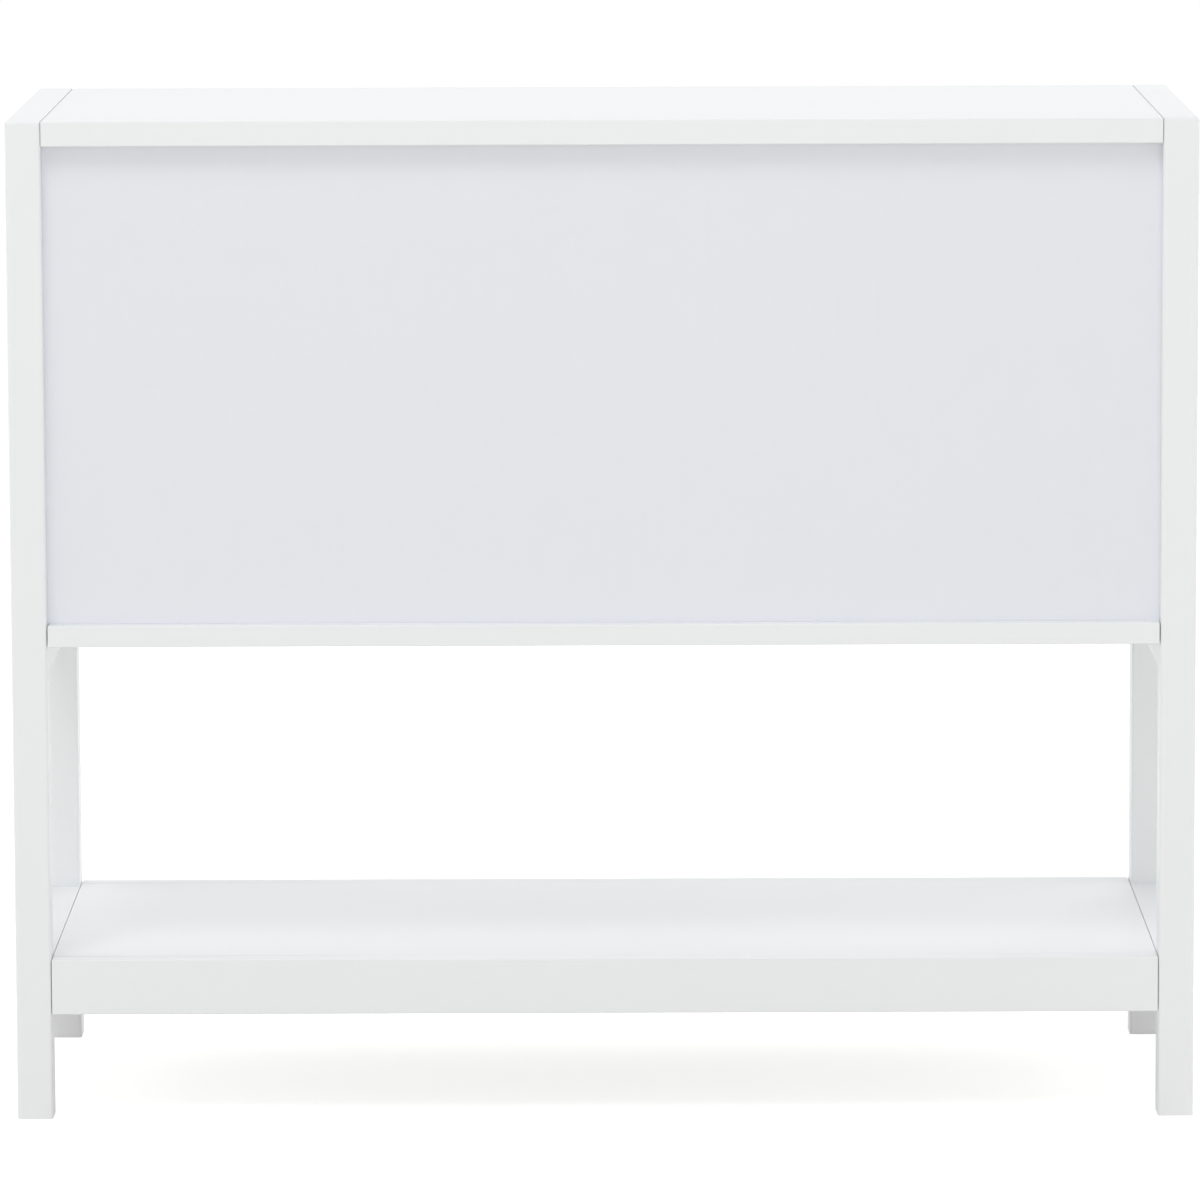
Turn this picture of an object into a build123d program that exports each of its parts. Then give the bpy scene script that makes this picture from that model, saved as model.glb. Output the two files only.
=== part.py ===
from build123d import *
import os

# A white console table: a cabinet of four drawers on two side frames, over a low shelf.
# Millimetres, +Z up, front facing -Y, left and right as seen from the front.
# The origin is on the floor, in the middle of the outline that the knobs are part of.

# Overall sizes, knobs left out
WIDTH = 1000.0
DEPTH = 400.0
HEIGHT = 850.0

# Side frames
FRAME_T = 30.0
LEG_DEPTH = 35.0
TOP_RAIL_H = 60.0
CABINET_RAIL_H = 60.0
CABINET_RAIL_DROP = 25.0
FRAME_ROUND = 2.5
SIDE_PANEL_T = 12.0
REBATE_LAP = 10.0
REBATE_PLAY = 0.2

# Cabinet boards
TOP_END_GAP = 0.3
BOTTOM_END_GAP = 0.8
SHELF_END_GAP = 0.5
BOARD_EASE = 1.0
THIN_EASE = 0.4
TOP_T = 21.0
TOP_DROP = 0.4
CABINET_H = 444.5
BOTTOM_T = 18.0
DIVIDER_T = 18.0
DIVIDER_BACK_GAP = 0.5
BACK_T = 4.0
BACK_RECESS = 15.0
BACK_LAP = 6.0
BACK_PLAY = 0.25

# Low shelf
SHELF_TOP_Z = 137.5
SHELF_T = 15.0
SHELF_JOINT = 0.2
APRON_H = 47.0
APRON_T = 18.0

# Drawers
FRONT_T = 18.0
FRONT_GAP = 3.0
FRONT_SETBACK = 1.0
FRONT_ROUND = 2.0
BOX_RISE = 18.0
BOX_TOP_ROOM = 30.0
BOX_SIDE_T = 12.0
BOX_REAR_ROOM = 12.0
TRAY_T = 3.0
TRAY_RISE = 10.0
TRAY_LAP = 6.0
TRAY_PLAY = 0.15
KNOB_L = 24.0
KNOB_FOOT_R = 8.5
KNOB_NECK_R = 5.5
KNOB_HEAD_R = 15.0
KNOB_FOOT_T = 2.0
KNOB_DOME_H = 5.0
KNOB_RIM_T = 3.0
KNOB_SCREW_R = 2.0
KNOB_SCREW_PLAY = 0.5
KNOB_BORE_L = 12.0

# Roller runners
RUNNER_SPACE = 12.5
RUNNER_END_ROOM = 0.5
STEEL_T = 1.2
BEND_IN_R = 0.4
BEND_OUT_R = 1.1
LIP_SHORT = 1.0
TRACK_RISE = 0.5
FLANGE_GAP = 0.6
FLANGE_ROOM = 1.3
CHANNEL_CLEAR = 1.2
ROLLER_R = 7.0
ROLLER_W = 6.0
ROLLER_ROUND = 0.8
ROLLER_HUB_R = 4.2
ROLLER_DISH_R = 5.8
ROLLER_DISH_DEPTH = 0.8
ROLLER_INSET = 12.0
ROLL_GAP = 0.2
ROLLER_SIDE_ROOM = 1.8
AXLE_R = 2.5
AXLE_PLAY = 0.1
AXLE_HEAD_R = 4.0
AXLE_HEAD_T = 0.8
AXLE_END_ROOM = 0.2
CHANNEL_CUT_ROOM = 6.0
RUNNER_OVERLAP = 89.0
STOP_ROOM = 0.5
STOP_LUG_H = 3.0
RUNNER_HOLE_R = 2.2
RUNNER_SLOT_L = 5.0
CHANNEL_HOLE_SHARES = (0.16, 0.91)
CHANNEL_SLOT_SHARE = 0.55
LIP_HOLE_SHARES = (0.10, 0.50, 0.90)

# Dowels
DOWEL_R = 4.0
DOWEL_PLAY = 0.1
DOWEL_CHAMFER = 0.8
DOWEL_END_ROOM = 0.5
FRAME_DOWEL_L = 40.0
BOARD_DOWEL_L = 24.0
RAIL_DOWEL_SHARES = (0.27, 0.73)
BOARD_DOWEL_SHARE = 0.15
SHELF_DOWEL_SHARE = 0.32
APRON_DOWEL_SHARE = 0.18

# Cam fittings and divider screws
CAM_SHARE = 0.28
CAM_R = 7.4
CAM_H = 12.2
CAM_PLAY = 0.1
CAM_SINK = 0.2
CAM_REACH = 34.0
CAM_SLOT_W = 1.6
CAM_SLOT_L = 9.0
CAM_SLOT_DEPTH = 2.5
BOLT_THREAD_R = 3.0
BOLT_THREAD_L = 11.0
BOLT_SHANK_R = 2.5
BOLT_COLLAR_R = 3.8
BOLT_COLLAR_T = 1.2
BOLT_HEAD_R = 3.6
BOLT_HEAD_L = 4.0
BOLT_PLAY = 0.1
BOLT_BORE_R = 4.2
SCREW_L = 50.0
SCREW_R = 3.0
SCREW_HEAD_R = 4.8
SCREW_HEAD_L = 3.0
SCREW_PLAY = 0.1

# Places that follow from the sizes above
NEAR = 0.001
X_OUT = WIDTH / 2
X_IN = X_OUT - FRAME_T
X_MID = (X_OUT + X_IN) / 2
TOP_X = (TOP_END_GAP - X_IN, X_IN - TOP_END_GAP)
BOTTOM_X = (BOTTOM_END_GAP - X_IN, X_IN - BOTTOM_END_GAP)
SHELF_X = (SHELF_END_GAP - X_IN, X_IN - SHELF_END_GAP)
KNOB_OUT = KNOB_L - FRONT_SETBACK
Y_BACK = (DEPTH + KNOB_OUT) / 2
Y_FRONT = Y_BACK - DEPTH
Y_MID = (Y_BACK + Y_FRONT) / 2
Y_RAIL = (Y_FRONT + LEG_DEPTH, Y_BACK - LEG_DEPTH)
TOP_Z = (HEIGHT - TOP_DROP - TOP_T, HEIGHT - TOP_DROP)
BOTTOM_Z = HEIGHT - CABINET_H
BAY_Z = (BOTTOM_Z + BOTTOM_T, TOP_Z[0])
TOP_RAIL_Z = (HEIGHT - TOP_RAIL_H, HEIGHT)
CABINET_RAIL_Z = (BOTTOM_Z - CABINET_RAIL_DROP, BOTTOM_Z - CABINET_RAIL_DROP + CABINET_RAIL_H)
SHELF_RAIL_Z = (SHELF_TOP_Z - APRON_H, SHELF_TOP_Z)
REBATE_Z = (CABINET_RAIL_Z[1] - REBATE_LAP, TOP_RAIL_Z[0] + REBATE_LAP)
BACK_Y = (Y_BACK - BACK_RECESS - BACK_T, Y_BACK - BACK_RECESS)
BACK_Z = (BAY_Z[0] - BACK_LAP, BAY_Z[1] + BACK_LAP)
BACK_GROOVE_Y = (BACK_Y[0] - BACK_PLAY, BACK_Y[1] + BACK_PLAY)
BACK_GROOVE_Z = (BACK_Z[0] - BACK_PLAY, BACK_Z[1] + BACK_PLAY)

# Drawer sizes: two columns beside the divider, two rows
ROWS = ("lower", "upper")
SIDES = (("left", -1), ("right", 1))
BAY_W = X_IN - DIVIDER_T / 2
BAY_X = DIVIDER_T / 2 + BAY_W / 2
FRONT_W = BAY_W - 2 * FRONT_GAP
FRONT_H = (BAY_Z[1] - BAY_Z[0] - (len(ROWS) + 1) * FRONT_GAP) / len(ROWS)
ROW_STEP = FRONT_H + FRONT_GAP
BOX_H = FRONT_H - BOX_RISE - BOX_TOP_ROOM
BOX_HALF = BAY_W / 2 - RUNNER_SPACE
BOX_END = BACK_Y[0] - BOX_REAR_ROOM - Y_FRONT - FRONT_SETBACK

# Runner heights, counted up from the lower edge of a drawer side
REAR_ROLLER_Z = TRACK_RISE + ROLL_GAP + ROLLER_R
CHANNEL_TOP_Z = REAR_ROLLER_Z + ROLLER_R + ROLL_GAP + STEEL_T
FLANGE_Z = CHANNEL_TOP_Z + FLANGE_GAP
FRONT_ROLLER_Z = FLANGE_Z - ROLL_GAP - ROLLER_R
RUNNER_Y = (FRONT_T + RUNNER_END_ROOM, BOX_END - RUNNER_END_ROOM)
TRAVEL = RUNNER_Y[1] - RUNNER_Y[0] - RUNNER_OVERLAP
ROLLER_X = (STEEL_T + ROLLER_SIDE_ROOM, STEEL_T + ROLLER_SIDE_ROOM + ROLLER_W)

# How a bar that stands along Z is turned to lie along each axis
TURN = {"X": Rot(0, 90, 0), "Y": Rot(-90, 0, 0), "Z": Rot(0, 0, 0)}


def span(a, b):
    """The two values in rising order."""
    return (min(a, b), max(a, b))


def slab(x, y, z):
    """A square-edged block between the low and high values given for each axis."""
    middle = ((x[0] + x[1]) / 2, (y[0] + y[1]) / 2, (z[0] + z[1]) / 2)
    return Pos(*middle) * Box(x[1] - x[0], y[1] - y[0], z[1] - z[0])


def board(x, y, z, ease=BOARD_EASE):
    """A block with all its edges eased."""
    block = slab(x, y, z)
    return fillet(block.edges(), ease)


def rod(axis, centre, radius, length):
    """A round bar along an axis, centred on a point."""
    return Pos(*centre) * TURN[axis] * Cylinder(radius, length)


def edges_at(shape, axis, x=None, y=None, z=None):
    """The edges along an axis whose middle has the given coordinates."""
    found = ShapeList()
    for edge in shape.edges().filter_by(axis):
        middle = edge.center()
        wanted = ((x, middle.X), (y, middle.Y), (z, middle.Z))
        if all(want is None or abs(want - have) < NEAR for want, have in wanted):
            found.append(edge)
    return found


def round_over(x, y, x_in, y_in, z):
    """Cutter for a stopped round-over on an upright edge. x_in and y_in point into the wood."""
    x_axis = x + x_in * FRAME_ROUND
    y_axis = y + y_in * FRAME_ROUND
    corner = slab(span(x, x_axis), span(y, y_axis), z)
    return corner - rod("Z", (x_axis, y_axis, (z[0] + z[1]) / 2), FRAME_ROUND, z[1] - z[0])


def flip(shape):
    """The left-hand copy of a right-hand piece."""
    return mirror(shape, about=Plane.YZ)


def bored(shape, cutters):
    """The piece with every cutter taken out of it."""
    for cutter in cutters:
        shape = shape - cutter
    return shape


def save(name, *solids):
    """Write one node, with one or more solids in it."""
    pieces = []
    for solid in solids:
        pieces.extend(solid.solids())
    node = pieces[0] if len(pieces) == 1 else Compound(children=pieces)
    node.label = name
    export_step(node, os.path.join("parts", name + ".step"))


# Dowels: each place is an axis, a centre and a length, used for the dowel and for its holes

def dowel(place):
    """A dowel with chamfered ends."""
    axis, centre, length = place
    peg = rod(axis, centre, DOWEL_R, length)
    return chamfer(peg.edges().filter_by(GeomType.CIRCLE), DOWEL_CHAMFER)


def dowel_hole(place):
    """Cutter for a dowel's hole, long enough for both of the pieces that it joins."""
    axis, centre, length = place
    return rod(axis, centre, DOWEL_R + DOWEL_PLAY, length + 2 * DOWEL_END_ROOM)


def rail_dowels(z):
    """Dowels at both ends of a right-hand rail, spaced over the given clear height."""
    heights = [z[0] + share * (z[1] - z[0]) for share in RAIL_DOWEL_SHARES]
    return [("Y", (X_MID, y, height), FRAME_DOWEL_L) for y in Y_RAIL for height in heights]


def end_dowels(z, ys):
    """Dowels in the right-hand end of a board."""
    return [("X", (X_IN, y, z), BOARD_DOWEL_L) for y in ys]


# Cam fittings: a bolt in the side frame and a cam in the board. In a fitting's own frame the bolt
# runs along +Z from the frame's inner face, and +X points to the board face that the cam goes in at.

def cam_place(y, z, opening):
    """The right-hand frame of a fitting. opening is the direction of the board's open face."""
    return Plane(origin=(X_IN, y, z), x_dir=opening, z_dir=(-1, 0, 0)).location


def cam_bolt():
    """A bolt with its thread in the frame, a collar on the frame's face and its head in the cam."""
    head_start = CAM_REACH - BOLT_HEAD_L / 2
    head_end = head_start + BOLT_HEAD_L
    half = Polyline(
        (0, -BOLT_THREAD_L),
        (BOLT_SHANK_R, -BOLT_THREAD_L),
        (BOLT_THREAD_R, BOLT_SHANK_R - BOLT_THREAD_L),
        (BOLT_THREAD_R, 0),
        (BOLT_COLLAR_R, 0),
        (BOLT_COLLAR_R, BOLT_COLLAR_T),
        (BOLT_SHANK_R, BOLT_COLLAR_T),
        (BOLT_SHANK_R, head_start),
        (BOLT_HEAD_R, head_start),
        (BOLT_HEAD_R, head_end),
        (0, head_end),
        close=True,
    )
    return Rot(90, 0, 0) * revolve(make_face(half), Axis.Y)


def cam_lock(half_board):
    """A cam with a mouth for the bolt's head and a cross slot to turn it by."""
    top = half_board - CAM_SINK
    body = rod("X", (top - CAM_H / 2, 0, CAM_REACH), CAM_R, CAM_H)
    mouth_start = CAM_REACH - CAM_R
    mouth_end = CAM_REACH + BOLT_HEAD_L
    mouth = rod("Z", (0, 0, (mouth_start + mouth_end) / 2), BOLT_BORE_R, mouth_end - mouth_start)
    slot_x = (top - CAM_SLOT_DEPTH, top)
    slot_long = (-CAM_SLOT_L / 2, CAM_SLOT_L / 2)
    slot_thin = (-CAM_SLOT_W / 2, CAM_SLOT_W / 2)
    cross_a = slab(slot_x, slot_long, (slot_thin[0] + CAM_REACH, slot_thin[1] + CAM_REACH))
    cross_b = slab(slot_x, slot_thin, (slot_long[0] + CAM_REACH, slot_long[1] + CAM_REACH))
    return bored(body, (mouth, cross_a, cross_b))


def cam_board_holes(half_board):
    """Holes for one fitting in the board: the bolt's bore and the cam's pocket."""
    bore_l = CAM_REACH + BOLT_HEAD_L
    bore = rod("Z", (0, 0, bore_l / 2), BOLT_BORE_R, bore_l)
    depth = CAM_H + CAM_SINK + CAM_PLAY
    pocket = rod("X", (half_board - depth / 2, 0, CAM_REACH), CAM_R + CAM_PLAY, depth)
    return bore + pocket


def cam_frame_hole():
    """Hole for one bolt's thread in the side frame."""
    depth = BOLT_THREAD_L + BOLT_PLAY
    return rod("Z", (0, 0, -depth / 2), BOLT_THREAD_R + BOLT_PLAY, depth)


# Places of the right-hand dowels and fittings

cam_ys = (Y_MID - CAM_SHARE * DEPTH, Y_MID + CAM_SHARE * DEPTH)
dowel_ys = (Y_MID - BOARD_DOWEL_SHARE * DEPTH, Y_MID + BOARD_DOWEL_SHARE * DEPTH)
top_mid = (TOP_Z[0] + TOP_Z[1]) / 2
bottom_mid = BOTTOM_Z + BOTTOM_T / 2
shelf_mid = SHELF_TOP_Z - SHELF_T / 2
apron_mid = SHELF_TOP_Z - APRON_H / 2
apron_low = SHELF_RAIL_Z[0] + APRON_DOWEL_SHARE * APRON_H
apron_ys = {"front": Y_FRONT + APRON_T / 2, "back": Y_BACK - APRON_T / 2}

top_rail_dowels = rail_dowels((REBATE_Z[1], TOP_RAIL_Z[1]))
cabinet_rail_dowels = rail_dowels((CABINET_RAIL_Z[0], REBATE_Z[0]))
shelf_rail_dowels = rail_dowels(SHELF_RAIL_Z)
frame_dowels = top_rail_dowels + cabinet_rail_dowels + shelf_rail_dowels
top_end_dowels = end_dowels(top_mid, dowel_ys)
bottom_end_dowels = end_dowels(bottom_mid, dowel_ys)
shelf_end_dowels = end_dowels(shelf_mid, dowel_ys)
apron_end_dowels = end_dowels(apron_low, apron_ys.values())
end_dowel_places = top_end_dowels + bottom_end_dowels + shelf_end_dowels + apron_end_dowels

top_cams = [cam_place(y, top_mid, (0, 0, -1)) for y in cam_ys]
bottom_cams = [cam_place(y, bottom_mid, (0, 0, -1)) for y in cam_ys]
apron_cams = {
    "front": cam_place(apron_ys["front"], apron_mid, (0, 1, 0)),
    "back": cam_place(apron_ys["back"], apron_mid, (0, -1, 0)),
}

# Dowels on the middle of the table: divider to top, and shelf board to aprons
divider_ys = cam_ys
divider_dowels = [("Z", (0, y, TOP_Z[0]), BOARD_DOWEL_L) for y in divider_ys]
shelf_dowel_xs = (-SHELF_DOWEL_SHARE * WIDTH, 0, SHELF_DOWEL_SHARE * WIDTH)
shelf_long_dowels = {
    "front": [("Y", (x, Y_FRONT + APRON_T, shelf_mid), BOARD_DOWEL_L) for x in shelf_dowel_xs],
    "back": [("Y", (x, Y_BACK - APRON_T, shelf_mid), BOARD_DOWEL_L) for x in shelf_dowel_xs],
}


# Side frames, modelled on the right and mirrored for the left

def leg(end):
    """A right-hand leg. end is -1 for the front leg and +1 for the back leg."""
    y_out = Y_BACK if end > 0 else Y_FRONT
    y_in = y_out - end * LEG_DEPTH
    post = slab((X_IN, X_OUT), span(y_out, y_in), (0, HEIGHT))
    rounded = edges_at(post, Axis.Z, y=y_out)
    rounded += edges_at(post, Axis.X, y=y_out, z=HEIGHT)
    rounded += edges_at(post, Axis.Y, x=X_OUT, z=HEIGHT)
    post = fillet(rounded, FRAME_ROUND)
    open_below = (0, SHELF_RAIL_Z[0])
    open_middle = (SHELF_RAIL_Z[1], CABINET_RAIL_Z[0])
    beside_panel = (CABINET_RAIL_Z[1], TOP_RAIL_Z[0])
    cutters = [round_over(X_OUT, y_in, -1, end, z) for z in (open_below, open_middle, beside_panel)]
    cutters += [round_over(X_IN, y_in, 1, end, z) for z in (open_below, open_middle)]
    lap = REBATE_LAP + REBATE_PLAY
    rebate_z = (REBATE_Z[0] - REBATE_PLAY, REBATE_Z[1] + REBATE_PLAY)
    cutters.append(slab((X_IN, X_IN + SIDE_PANEL_T), span(y_in, y_in + end * lap), rebate_z))
    if end > 0:
        cutters.append(slab((X_IN, X_IN + BACK_LAP + BACK_PLAY), BACK_GROOVE_Y, BACK_GROOVE_Z))
    reach = FRAME_DOWEL_L / 2 + NEAR
    cutters += [dowel_hole(place) for place in frame_dowels if abs(place[1][1] - y_in) < reach]
    cutters += [dowel_hole(place) for place in apron_end_dowels if abs(place[1][1] - y_out) < LEG_DEPTH]
    cutters.append(apron_cams["back" if end > 0 else "front"] * cam_frame_hole())
    return bored(post, cutters)


def rail(z, rounded_at, dowels, cams, board_dowels):
    """A right-hand rail between the legs. rounded_at lists the x and z of its rounded long edges."""
    bar = slab((X_IN, X_OUT), Y_RAIL, z)
    rounded = ShapeList()
    for x, height in rounded_at:
        rounded += edges_at(bar, Axis.Y, x=x, z=height)
    bar = fillet(rounded, FRAME_ROUND)
    cutters = [dowel_hole(place) for place in dowels]
    cutters += [place * cam_frame_hole() for place in cams]
    cutters += [dowel_hole(place) for place in board_dowels]
    return bored(bar, cutters)


lap_x = (X_IN, X_IN + SIDE_PANEL_T)
top_rail = rail(
    TOP_RAIL_Z,
    ((X_OUT, TOP_RAIL_Z[0]), (X_OUT, TOP_RAIL_Z[1])),
    top_rail_dowels,
    top_cams,
    top_end_dowels,
)
top_rail -= slab(lap_x, Y_RAIL, (TOP_RAIL_Z[0], REBATE_Z[1] + REBATE_PLAY))
cabinet_rail = rail(
    CABINET_RAIL_Z,
    ((X_OUT, CABINET_RAIL_Z[0]), (X_OUT, CABINET_RAIL_Z[1]), (X_IN, CABINET_RAIL_Z[0])),
    cabinet_rail_dowels,
    bottom_cams,
    bottom_end_dowels,
)
cabinet_rail -= slab(lap_x, Y_RAIL, (REBATE_Z[0] - REBATE_PLAY, CABINET_RAIL_Z[1]))
shelf_rail = rail(
    SHELF_RAIL_Z,
    ((X_OUT, SHELF_RAIL_Z[0]), (X_OUT, SHELF_RAIL_Z[1]), (X_IN, SHELF_RAIL_Z[0])),
    shelf_rail_dowels,
    (),
    shelf_end_dowels,
)
side_panel = board(lap_x, (Y_RAIL[0] - REBATE_LAP, Y_RAIL[1] + REBATE_LAP), REBATE_Z, THIN_EASE)

# Cabinet boards

def end_cutters(dowels, cams, half_board):
    """Cutters for both ends of a board that spans the table."""
    right = [dowel_hole(place) for place in dowels]
    right += [place * cam_board_holes(half_board) for place in cams]
    return right + [flip(cutter) for cutter in right]


def divider_screw(y):
    """A screw from under the cabinet bottom up into the divider."""
    half = Polyline(
        (0, 0),
        (SCREW_HEAD_R, 0),
        (SCREW_R, SCREW_HEAD_L),
        (SCREW_R, SCREW_L - SCREW_R),
        (0, SCREW_L),
        close=True,
    )
    return Pos(0, y, BOTTOM_Z) * Rot(90, 0, 0) * revolve(make_face(half), Axis.Y)


def screw_hole(y):
    """The screw's hole: a countersink at the underside and a straight bore."""
    depth = SCREW_L + SCREW_PLAY
    bore = rod("Z", (0, y, BOTTOM_Z + depth / 2), SCREW_R + SCREW_PLAY, depth)
    sink = Cone(SCREW_HEAD_R + SCREW_PLAY, SCREW_R + SCREW_PLAY, SCREW_HEAD_L)
    return bore + Pos(0, y, BOTTOM_Z + SCREW_HEAD_L / 2) * sink


table_top = board(TOP_X, (Y_FRONT, Y_BACK), TOP_Z)
table_top -= slab(TOP_X, BACK_GROOVE_Y, (TOP_Z[0], BACK_GROOVE_Z[1]))
table_top = bored(table_top, end_cutters(top_end_dowels, top_cams, TOP_T / 2))
table_top = bored(table_top, [dowel_hole(place) for place in divider_dowels])

cabinet_bottom = board(BOTTOM_X, (Y_FRONT, Y_BACK), (BOTTOM_Z, BAY_Z[0]))
cabinet_bottom -= slab(BOTTOM_X, BACK_GROOVE_Y, (BACK_GROOVE_Z[0], BAY_Z[0]))
cabinet_bottom = bored(cabinet_bottom, end_cutters(bottom_end_dowels, bottom_cams, BOTTOM_T / 2))
cabinet_bottom = bored(cabinet_bottom, [screw_hole(y) for y in divider_ys])

back_panel = board((-X_IN - BACK_LAP, X_IN + BACK_LAP), BACK_Y, BACK_Z, THIN_EASE)

divider_y = (Y_FRONT, BACK_Y[0] - DIVIDER_BACK_GAP)
centre_divider = slab((-DIVIDER_T / 2, DIVIDER_T / 2), divider_y, BAY_Z)
centre_divider = fillet(edges_at(centre_divider, Axis.Z, y=Y_FRONT), BOARD_EASE)
centre_divider = bored(centre_divider, [dowel_hole(place) for place in divider_dowels])
centre_divider = bored(centre_divider, [screw_hole(y) for y in divider_ys])

# Low shelf: a board between a front and a back apron

shelf_y = (Y_FRONT + APRON_T + SHELF_JOINT, Y_BACK - APRON_T - SHELF_JOINT)
lower_shelf = board(SHELF_X, shelf_y, (SHELF_TOP_Z - SHELF_T, SHELF_TOP_Z), THIN_EASE)
lower_shelf = bored(lower_shelf, end_cutters(shelf_end_dowels, (), SHELF_T / 2))


def apron(end):
    """The low shelf's front or back edge board."""
    middle = apron_ys[end]
    blank = board(SHELF_X, (middle - APRON_T / 2, middle + APRON_T / 2), SHELF_RAIL_Z)
    own_dowels = [place for place in apron_end_dowels if abs(place[1][1] - middle) < NEAR]
    blank = bored(blank, end_cutters(own_dowels, [apron_cams[end]], APRON_T / 2))
    return bored(blank, [dowel_hole(place) for place in shelf_long_dowels[end]])


for long_dowels in shelf_long_dowels.values():
    lower_shelf = bored(lower_shelf, [dowel_hole(place) for place in long_dowels])

# One drawer in its own frame: X from the middle of the bay, Y from the face of the drawer front,
# Z from the lower edge of the drawer front

box_z = (BOX_RISE, BOX_RISE + BOX_H)
tray_z = (BOX_RISE + TRAY_RISE, BOX_RISE + TRAY_RISE + TRAY_T)
tray_slot_z = (tray_z[0] - TRAY_PLAY, tray_z[1] + TRAY_PLAY)
inner_half = BOX_HALF - BOX_SIDE_T
tray_half = inner_half + TRAY_LAP

drawer_front = slab((-FRONT_W / 2, FRONT_W / 2), (0, FRONT_T), (0, FRONT_H))
face_edges = edges_at(drawer_front, Axis.X, y=0) + edges_at(drawer_front, Axis.Z, y=0)
drawer_front = fillet(face_edges, FRONT_ROUND)
tray_end_x = (-tray_half - TRAY_PLAY, tray_half + TRAY_PLAY)
drawer_front -= slab(tray_end_x, (FRONT_T - TRAY_LAP - TRAY_PLAY, FRONT_T), tray_slot_z)
drawer_front -= rod("Y", (0, FRONT_T / 2, FRONT_H / 2), KNOB_SCREW_R + KNOB_SCREW_PLAY, FRONT_T)

drawer_side = slab((inner_half, BOX_HALF), (FRONT_T, BOX_END), box_z)
side_edges = edges_at(drawer_side, Axis.Y, z=box_z[1]) + edges_at(drawer_side, Axis.Z, y=BOX_END)
drawer_side = fillet(side_edges, BOARD_EASE)
drawer_side -= slab((inner_half, tray_half + TRAY_PLAY), (FRONT_T, BOX_END), tray_slot_z)

back_z = (tray_slot_z[1], box_z[1])
drawer_back = slab((-inner_half, inner_half), (BOX_END - BOX_SIDE_T, BOX_END), back_z)
drawer_back = fillet(edges_at(drawer_back, Axis.X, z=box_z[1]), BOARD_EASE)

drawer_tray = slab((-tray_half, tray_half), (FRONT_T - TRAY_LAP, BOX_END), tray_z)


def knob():
    """A turned knob: a foot, a waisted neck, a rounded rim, a domed face and a bore for its screw."""
    rim_y = KNOB_L - KNOB_DOME_H - KNOB_RIM_T
    edge_r = KNOB_HEAD_R - KNOB_RIM_T / 2
    foot = Polyline((0, 0), (KNOB_FOOT_R, 0), (KNOB_FOOT_R, KNOB_FOOT_T))
    waist = (KNOB_NECK_R, (KNOB_FOOT_T + rim_y) / 2)
    neck = Spline((KNOB_FOOT_R, KNOB_FOOT_T), waist, (edge_r, rim_y))
    widest = (KNOB_HEAD_R, rim_y + KNOB_RIM_T / 2)
    rim = ThreePointArc((edge_r, rim_y), widest, (edge_r, rim_y + KNOB_RIM_T))
    dome = TangentArc((0, KNOB_L), (edge_r, rim_y + KNOB_RIM_T), tangent=(1, 0))
    axis = Line((0, KNOB_L), (0, 0))
    turned = revolve(make_face(foot + neck + rim + dome + axis), Axis.Y)
    turned -= rod("Y", (0, KNOB_BORE_L / 2, 0), KNOB_SCREW_R, KNOB_BORE_L)
    return Pos(0, 0, FRONT_H / 2) * Rot(0, 0, 180) * turned


# Roller runners on the right of a drawer, in the drawer's frame

def runner_x(offset):
    """X at a distance outward from the drawer side."""
    return BOX_HALF + offset


def runner_z(rise):
    """Z at a height above the lower edge of the drawer side."""
    return BOX_RISE + rise


def runner_y(share):
    """Y at a share of the runner's length."""
    return RUNNER_Y[0] + share * (RUNNER_Y[1] - RUNNER_Y[0])


def corners(face, points):
    """The vertices of a flat face at the given points."""
    found = ShapeList()
    for vertex in face.vertices():
        if any(abs(vertex.X - x) + abs(vertex.Y - z) < NEAR for x, z in points):
            found.append(vertex)
    return found


def along_runner(points, bends_in, bends_out):
    """A pressed steel section, given by its corners as X and Z, drawn out along the runner.
    bends_in and bends_out list the corners rounded with the inner and the outer bend radius."""
    face = make_face(Polyline(*points, close=True))
    face = fillet(corners(face, [points[i] for i in bends_in]), BEND_IN_R)
    face = fillet(corners(face, [points[i] for i in bends_out]), BEND_OUT_R)
    length = RUNNER_Y[1] - RUNNER_Y[0]
    return Pos(0, RUNNER_Y[1], 0) * Rot(90, 0, 0) * extrude(face, length)


def headed_axle(x_root, x_tip, y, z):
    """An axle from a runner's web, with a flat head at its tip."""
    pin = rod("X", ((x_root + x_tip) / 2, y, z), AXLE_R, abs(x_tip - x_root))
    way = 1 if x_tip > x_root else -1
    return pin + rod("X", (x_tip + way * AXLE_HEAD_T / 2, y, z), AXLE_HEAD_R, AXLE_HEAD_T)


def roller(y, z):
    """A roller with both faces dished round its hub, and a bore for its axle."""
    middle = (runner_x((ROLLER_X[0] + ROLLER_X[1]) / 2), y, z)
    wheel = rod("X", middle, ROLLER_R, ROLLER_W)
    wheel = fillet(wheel.edges().filter_by(GeomType.CIRCLE), ROLLER_ROUND)
    dish = rod("X", (0, y, z), ROLLER_DISH_R, 2 * ROLLER_DISH_DEPTH)
    dish -= rod("X", (0, y, z), ROLLER_HUB_R, 2 * ROLLER_DISH_DEPTH)
    for x in ROLLER_X:
        wheel -= Pos(runner_x(x), 0, 0) * dish
    return wheel - rod("X", middle, AXLE_R + AXLE_PLAY, ROLLER_W)


front_axle_y = RUNNER_Y[0] + ROLLER_INSET
rear_axle_y = RUNNER_Y[1] - STEEL_T - STOP_ROOM - ROLLER_R
front_axle_z = runner_z(FRONT_ROLLER_Z)
rear_axle_z = runner_z(REAR_ROLLER_Z)

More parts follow.
